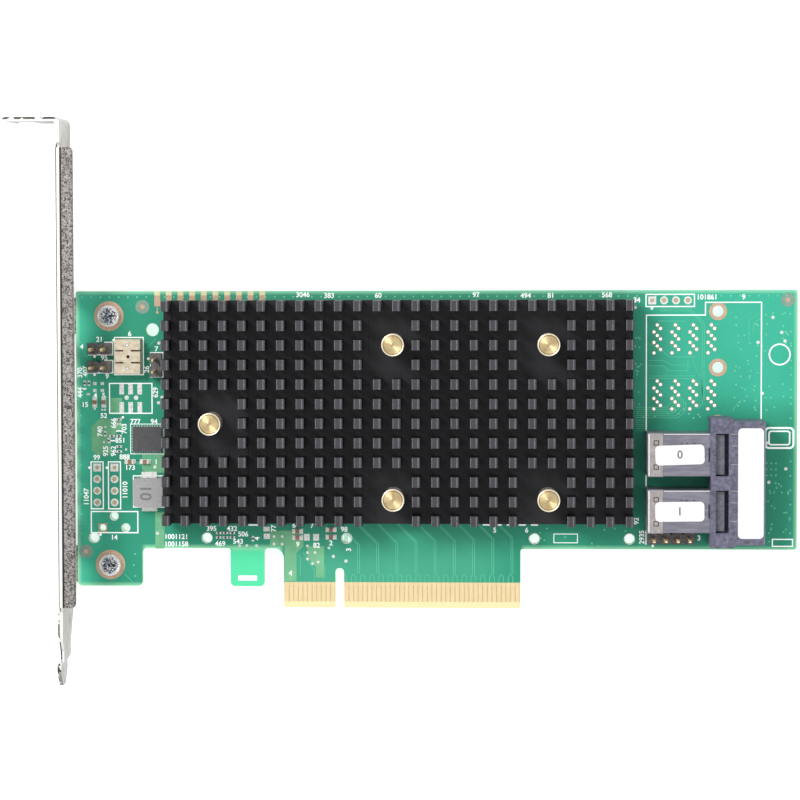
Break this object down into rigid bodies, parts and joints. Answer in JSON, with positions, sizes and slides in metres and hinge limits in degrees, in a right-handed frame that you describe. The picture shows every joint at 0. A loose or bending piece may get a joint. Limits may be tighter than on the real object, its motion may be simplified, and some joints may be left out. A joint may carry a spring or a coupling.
{
  "type": "raid controller card",
  "caption": "Half-height storage controller card on a full-height bracket: pin-fin heat sink on sprung push pins, card-edge tab and a double right-angle cable port.",
  "frame": {"origin": "on the contact tab's lower edge, at the centre of its key notch, on the board's back face", "axes": "+X runs along the board away from the bracket, +Y from the contact tab to the top edge, +Z out of the component side"},
  "size_m": [0.1697, 0.1226, 0.0184],
  "materials": {
    "solder_mask": "green solder mask",
    "gold_plate": "polished gold plating",
    "copper_ring": "bare tinned copper",
    "bracket_steel": "plated satin steel",
    "screw_steel": "nickel plated",
    "sink_aluminium": "black anodised",
    "pin_brass": "turned brass",
    "spring_steel": "bright spring wire",
    "port_plastic": "moulded dark grey",
    "shield_steel": "nickel plated",
    "carrier_plastic": "moulded black",
    "label_paper": "blank white sticker",
    "header_plastic": "moulded black",
    "socket_plastic": "moulded cream",
    "chip_epoxy": "moulded black",
    "chip_lid_metal": "nickel plated copper",
    "substrate": "green laminate",
    "thermal_pad": "soft grey",
    "solder_tin": "tinned",
    "inductor_powder": "pressed metal powder",
    "capacitor_ceramic": "fired ceramic"
  },
  "bodies": {
    "root": {"circuit_board": "solder_mask", "edge_contacts_front": "gold_plate", "edge_contacts_back": "gold_plate", "top_edge_pads": "copper_ring", "mounting_bracket": "bracket_steel", "bracket_screws": "screw_steel", "heat_sink": "sink_aluminium", "push_pins": "pin_brass", "push_pin_springs": "spring_steel", "chip_carrier": "substrate", "chip_lid": "chip_lid_metal", "chip_thermal_pad": "thermal_pad", "memory_chips": "chip_epoxy", "memory_thermal_strips": "thermal_pad", "port_housing": "port_plastic", "port_board_locks": "solder_tin", "port_shield_1": "shield_steel", "port_shield_2": "shield_steel", "contact_carrier_1": "carrier_plastic", "contact_carrier_2": "carrier_plastic", "port_terminals_1": "gold_plate", "port_terminals_2": "gold_plate", "shield_label_1": "label_paper", "shield_label_2": "label_paper", "housing_label": "label_paper", "jumper_header_a_base": "header_plastic", "jumper_header_a_posts": "gold_plate", "jumper_header_b_base": "header_plastic", "jumper_header_b_posts": "gold_plate", "jumper_header_c_base": "header_plastic", "jumper_header_c_posts": "gold_plate", "service_header_base": "header_plastic", "service_header_posts": "gold_plate", "power_socket": "socket_plastic", "power_socket_pins": "solder_tin", "power_inductor": "inductor_powder", "inductor_straps": "solder_tin", "logic_chip": "chip_epoxy", "capacitor_bodies": "capacitor_ceramic", "capacitor_ends": "solder_tin", "resistor_bodies": "chip_epoxy", "resistor_ends": "solder_tin"}
  },
  "joints": []
}
